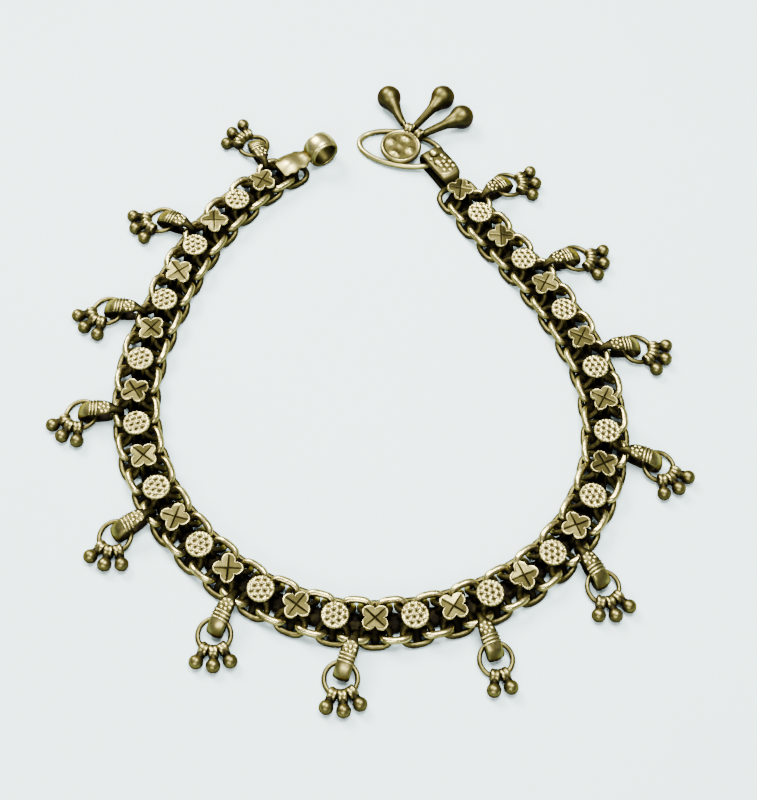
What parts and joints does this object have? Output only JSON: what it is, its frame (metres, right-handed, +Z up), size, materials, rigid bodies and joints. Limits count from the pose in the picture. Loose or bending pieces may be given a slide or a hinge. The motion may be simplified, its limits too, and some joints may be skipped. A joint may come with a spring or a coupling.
{
  "type": "payal anklet",
  "caption": "Payal anklet lying open: a wide silver-alloy chain of wire links with flowers and granulated discs, small ball drops, and a clasp ring with large stemmed balls.",
  "frame": {"origin": "bottom centre of the bounding box, on the table under the middle of the anklet", "axes": "+Z up from the table; +Y across the loop towards its open end with the cap and the clasp; +X to the right end with the clasp, seen with the open end away from the viewer"},
  "size_m": [0.1114, 0.1272, 0.0061],
  "materials": {
    "silver": "satin",
    "ball_silver": "satin"
  },
  "bodies": {
    "root": {"end_cap": "silver", "flower_link_01": "silver", "disc_link_02": "silver", "flower_link_03": "silver", "disc_link_04": "silver", "flower_link_05": "silver", "disc_link_06": "silver", "flower_link_07": "silver", "disc_link_08": "silver", "flower_link_09": "silver", "disc_link_10": "silver", "flower_link_11": "silver", "disc_link_12": "silver", "flower_link_13": "silver", "disc_link_14": "silver", "flower_link_15": "silver", "disc_link_16": "silver", "flower_link_17": "silver", "disc_link_18": "silver", "flower_link_19": "silver", "disc_link_20": "silver", "flower_link_21": "silver", "disc_link_22": "silver", "flower_link_23": "silver", "disc_link_24": "silver", "flower_link_25": "silver", "disc_link_26": "silver", "flower_link_27": "silver", "disc_link_28": "silver", "flower_link_29": "silver", "disc_link_30": "silver", "flower_link_31": "silver", "disc_link_32": "silver", "flower_link_33": "silver", "disc_link_34": "silver", "flower_link_35": "silver", "disc_link_36": "silver", "end_bail": "silver", "drop_01": "silver", "drop_02": "silver", "drop_03": "silver", "drop_04": "silver", "drop_05": "silver", "drop_06": "silver", "drop_07": "silver", "drop_08": "silver", "drop_09": "silver", "drop_10": "silver", "drop_11": "silver", "drop_12": "silver", "drop_13": "silver", "clasp_ring": "silver", "clasp_ball_1": "ball_silver", "clasp_ball_2": "ball_silver", "clasp_ball_3": "ball_silver"}
  },
  "joints": []
}
